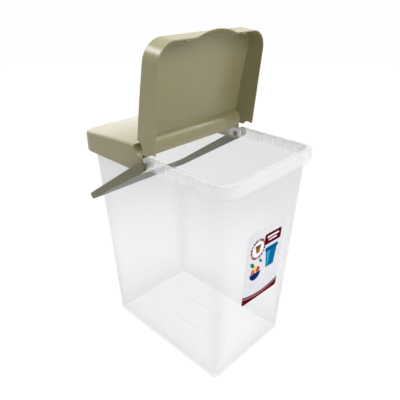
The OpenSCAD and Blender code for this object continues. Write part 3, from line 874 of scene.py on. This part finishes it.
def label_print():
    """Printed paper, drawn in the label's own millimetres.

    It shows a ring of beads around a tub, a plate with two bars, a blue tub, a bowl of grains
    with two leaves, and a curved foot with a pale line.
    """
    m = new_material("label_print")
    at = m.axes()

    def add(a, b):
        return m.math("ADD", a, b)

    def sub(a, b):
        return m.math("SUBTRACT", a, b)

    def mul(a, b):
        return m.math("MULTIPLY", a, b)

    def size(a):
        return m.math("ABSOLUTE", a)

    def most(a, b):
        return m.math("MAXIMUM", a, b)

    def length(a, b):
        return m.math("SQRT", add(mul(a, a), mul(b, b)))

    u = sub(mul(at["X"], 1 / MM), LABEL_X)
    v = add(sub(mul(at["Z"], 1 / MM), LABEL_Z), mul(u, LABEL_SKEW / LABEL_W))

    # each shape is a distance from its outline, below zero inside it
    def disc(cx, cy, r):
        return sub(length(sub(u, cx), sub(v, cy)), r)

    def plate(cx, cy, half_w, half_h, r):
        dx = most(sub(size(sub(u, cx)), half_w - r), 0.0)
        dy = most(sub(size(sub(v, cy)), half_h - r), 0.0)
        return sub(length(dx, dy), r)

    def tub(cx, cy, half_w, half_h, flare):
        """Box that widens upwards."""
        dv = sub(v, cy)
        return most(sub(size(sub(u, cx)), add(mul(dv, flare), half_w)), sub(size(dv), half_h))

    def leaf(cx, cy, r, apart):
        """Lens between two discs that lie side by side."""
        return most(disc(cx - apart, cy - apart, r), disc(cx + apart, cy + apart, r))

    def paint(distance, tint, soft=0.3):
        nonlocal colour
        colour = m.mix(m.ramp(distance, soft, -soft), colour, tint)

    maroon, red, orange, yellow = srgb(92, 6, 20), srgb(190, 36, 36), srgb(214, 104, 20), srgb(240, 200, 70)
    blue, pale_blue, dark_blue = srgb(8, 104, 152), srgb(60, 160, 198), srgb(4, 78, 124)
    navy, green, white = srgb(16, 42, 104), srgb(44, 120, 44), srgb(236, 236, 240)
    colour = m.mix(m.cloud(30.0, 2.0), srgb(224, 224, 230), srgb(216, 217, 225))

    ring_x, ring_y, ring_r, beads, bead_r = -15.5, 28.0, 13.5, 18, 2.1
    angle = m.math("ARCTAN2", sub(v, ring_y), sub(u, ring_x))
    turn = add(mul(angle, beads / (2 * math.pi)), beads / 2)
    along = mul(sub(m.math("FRACT", turn), 0.5), 2 * math.pi * ring_r / beads)
    kind = m.math("MODULO", m.math("FLOOR", turn), 3.0)
    bead_tint = m.mix(m.math("LESS_THAN", kind, 1.5), srgb(40, 26, 28), orange)
    bead_tint = m.mix(m.math("LESS_THAN", kind, 0.5), bead_tint, maroon)
    paint(disc(ring_x, ring_y, ring_r - 1), white)
    paint(sub(length(along, disc(ring_x, ring_y, ring_r)), bead_r), bead_tint)
    paint(tub(ring_x, ring_y - 1, 4.2, 4.6, 0.25), srgb(150, 84, 40))
    paint(plate(ring_x, ring_y + 4.6, 6.0, 1.3, 1.0), srgb(70, 36, 26))

    paint(plate(15, 36, 18, 8.5, 2.5), maroon)
    paint(plate(15, 38.6, 12.5, 1.4, 1.1), white)
    paint(plate(15, 33.6, 9.0, 1.1, 0.9), white)

    paint(tub(15, 4, 10.5, 14.5, 0.12), blue)
    paint(tub(9.5, 3, 2.2, 12.5, 0.1), pale_blue)
    paint(plate(15, 19.5, 14.5, 2.6, 1.4), dark_blue)
    paint(plate(15, 22.5, 11.5, 1.0, 0.8), pale_blue)

    bowl = disc(-16, -9, 11.5)
    paint(bowl, srgb(206, 214, 236))
    paint(disc(-21, -5.5, 4.6), orange)
    paint(disc(-11.5, -4.5, 4.2), red)
    paint(disc(-16.5, -2, 3.4), yellow)
    paint(most(bowl, sub(v, -9)), navy)
    paint(leaf(-24, 6, 9.0, 4.4), green)
    paint(leaf(-7, 7, 8.0, 4.2), green)

    foot = add(mul(mul(u, u), 0.0045), -46.5)
    paint(sub(v, foot), maroon)
    paint(sub(size(sub(v, add(foot, -3.6))), 0.5), srgb(226, 160, 166))
    m.set(Base_Color=colour, Roughness=0.5, Specular_IOR_Level=0.0)
    m.set(Normal=m.bump(m.noise(600.0, 2.0), 0.04, 0.0002))
    return m.owner


def bare_paper():
    m = new_material("label_paper")
    m.set(Base_Color=m.mix(m.noise(30.0, 2.0), srgb(226, 226, 230), srgb(218, 219, 224)))
    m.set(Roughness=0.6, Specular_IOR_Level=0.0)
    return m.owner


# ---- pieces ----

# These are parts of one plastic; their tones differ as painted light and shade: the shelf is darkened
# against the strong light on its top, and the rim and band are set to how they are lit.
bin_materials = {
    WALL: clear_plastic("translucent_plastic", 0.105, 0.15, 0.62, 0.30, 0.0, thick=0.07),
    RIM: clear_plastic("translucent_rim", 0.15, 0.30, 0.12, 0.14, 0.6, tone=248),
    FLOOR: clear_plastic("translucent_floor", 0.09, 0.12, 0.30, 0.30, 0.0),
    BAND: clear_plastic("translucent_band", 0.38, 0.42, 0.08, 0.16, 0.5, tone=239, stripes=0.2),
    RIB: clear_plastic("translucent_rib", 0.22, 0.30, 0.05, 0.16, 0.0),
    SHELF: clear_plastic("translucent_shelf", 0.50, 0.62, 0.12, 0.16, 0.5, tone=212),
}
cap_material = olive_plastic("olive_plastic", srgb(140, 134, 99), srgb(136, 130, 95))
# The handle's olive is darker than the cover's, as painted shade on its arms.
handle_material = olive_plastic("handle_plastic", srgb(105, 101, 75), srgb(101, 97, 71), 0.25)

bin_piece = build("bin_shell", bin_shape(), [bin_materials[part] for part in sorted(bin_materials)],
                  "bin", "bin", pick=bin_part)
cover_piece = build("cover_shell", cover_shape(), [cap_material], "bin", "rear_cover")
lid_piece = build("lid_shell", lid_shape(), [cap_material], "lid", "flip_lid")
handle_piece = build("bail_handle", handle_shape(), [handle_material], "handle", "handle")
label_piece = build("front_label", label_shape(), [label_print(), bare_paper()], "bin", "label",
                    pick=label_part)


# ---- floor and surroundings, in metres from here on ----

FLOOR_REACH = 40.0
FLOOR_GLOW, FLOOR_BRIGHT = 0.93, 1.05             # share and strength of the floor's own white
WORLD_FILL = 0.06                                 # how much light the world gives
BEHIND_NEAR, BEHIND_FAR = 1.0, 0.78               # brightness seen through the bin, near and far, as painted shade inside it
BEHIND_REACH, BEHIND_MIDDLE = (0.2, 0.5), (-0.09, 0.09, 0.0)


def seen(m):
    """1 for rays from the camera, from reflections and through clear matter, or else 0."""
    path = m.add("ShaderNodeLightPath").outputs
    others = m.math("MAXIMUM", path["Is Glossy Ray"], path["Is Transmission Ray"])
    return m.math("MAXIMUM", path["Is Camera Ray"], others)


def behind(m, dimmed):
    """Brightness as it is seen: 1, or dimmed as painted shade past the first see-through surface."""
    depth = m.add("ShaderNodeLightPath").outputs["Transparent Depth"]
    return m.ramp(depth, 0.0, 1.0, 1.0, dimmed)


def floor_white():
    m = new_material("floor_white")
    m.set(Base_Color=srgb(240, 240, 240), Roughness=0.7)
    away = m.add("ShaderNodeVectorMath", {0: m.place(), 1: BEHIND_MIDDLE}, operation="DISTANCE")
    dimmed = m.ramp(away.outputs["Value"], *BEHIND_REACH, BEHIND_NEAR, BEHIND_FAR)
    strength = m.math("MULTIPLY", behind(m, dimmed), FLOOR_BRIGHT)
    glow = m.add("ShaderNodeEmission", {"Color": (1, 1, 1, 1), "Strength": strength})
    share = m.math("MULTIPLY", seen(m), FLOOR_GLOW)
    lit = m.find("BSDF_PRINCIPLED").outputs[0]
    blend = m.add("ShaderNodeMixShader", {0: share, 1: lit, 2: glow.outputs[0]})
    m.put(m.find("OUTPUT_MATERIAL").inputs["Surface"], blend.outputs[0])
    return m.owner


def floor_piece():
    mesh = bpy.data.meshes.new("floor")
    corners = [(x * FLOOR_REACH, y * FLOOR_REACH, 0) for x, y in ((-1, -1), (1, -1), (1, 1), (-1, 1))]
    mesh.from_pydata(corners, [], [[0, 1, 2, 3]])
    mesh.materials.append(floor_white())
    obj = bpy.data.objects.new("floor", mesh)
    bpy.context.scene.collection.objects.link(obj)


def studio():
    """White world that looks bright and gives little light."""
    m = Nodes(bpy.data.worlds.new("studio"))
    back = m.find("BACKGROUND").inputs
    m.put(back["Color"], (1, 1, 1, 1))
    m.put(back["Strength"], m.ramp(seen(m), 0.0, 1.0, WORLD_FILL, behind(m, BEHIND_FAR)))
    bpy.context.scene.world = m.owner


# ---- lamps and camera ----

AIM = (0, 0, 0.25)
LAMPS = {                                         # place, size and power of each
    "rear_high": ((1.35, 1.3, 1.25), (1.5, 1.0), 2.3),
    "rear_low": ((1.5, 1.5, 0.4), (1.8, 0.7), 9),
    "front_high": ((-0.4, -1.8, 1.5), (1.4, 1.0), 28),
    "right_mid": ((1.5, -0.65, 1.35), (1.2, 0.5), 13.5),
    "right_low": ((1.75, -0.75, 1.05), (1.2, 0.35), 3.5),
    "back_left_high": ((-0.95, 1.3, 1.6), (0.9, 0.5), 21),
    "top": ((0.1, 0.3, 1.9), (1.4, 1.4), 24.5),
}
CAMERA_PLACE = (-0.3825, -0.3772, 0.4883)
CAMERA_DOWN, CAMERA_TURN = 27.28, 45.95           # degrees below the horizon and right of +Y
CAMERA_LENS, CAMERA_SENSOR = 38.83, 36.0          # in millimetres


def lamp(name, place, size, power):
    data = bpy.data.lights.new(name, "AREA")
    data.shape = "RECTANGLE"
    data.size, data.size_y = size
    data.energy = power
    obj = bpy.data.objects.new(name, data)
    obj.location = place
    obj.rotation_euler = (Vector(AIM) - Vector(place)).to_track_quat("-Z", "Y").to_euler()
    obj.visible_camera = False
    bpy.context.scene.collection.objects.link(obj)


def camera():
    data = bpy.data.cameras.new("camera")
    data.lens = CAMERA_LENS
    data.sensor_width = CAMERA_SENSOR
    data.clip_start = 0.01
    obj = bpy.data.objects.new("camera", data)
    obj.location = CAMERA_PLACE
    obj.rotation_euler = (math.radians(90 - CAMERA_DOWN), 0, math.radians(-CAMERA_TURN))
    bpy.context.scene.collection.objects.link(obj)
    bpy.context.scene.camera = obj


floor_piece()
studio()
for lamp_name, settings in LAMPS.items():
    lamp(lamp_name, *settings)
camera()
bpy.context.scene.view_settings.view_transform = "Standard"
bpy.context.scene.cycles.transparent_max_bounces = 32
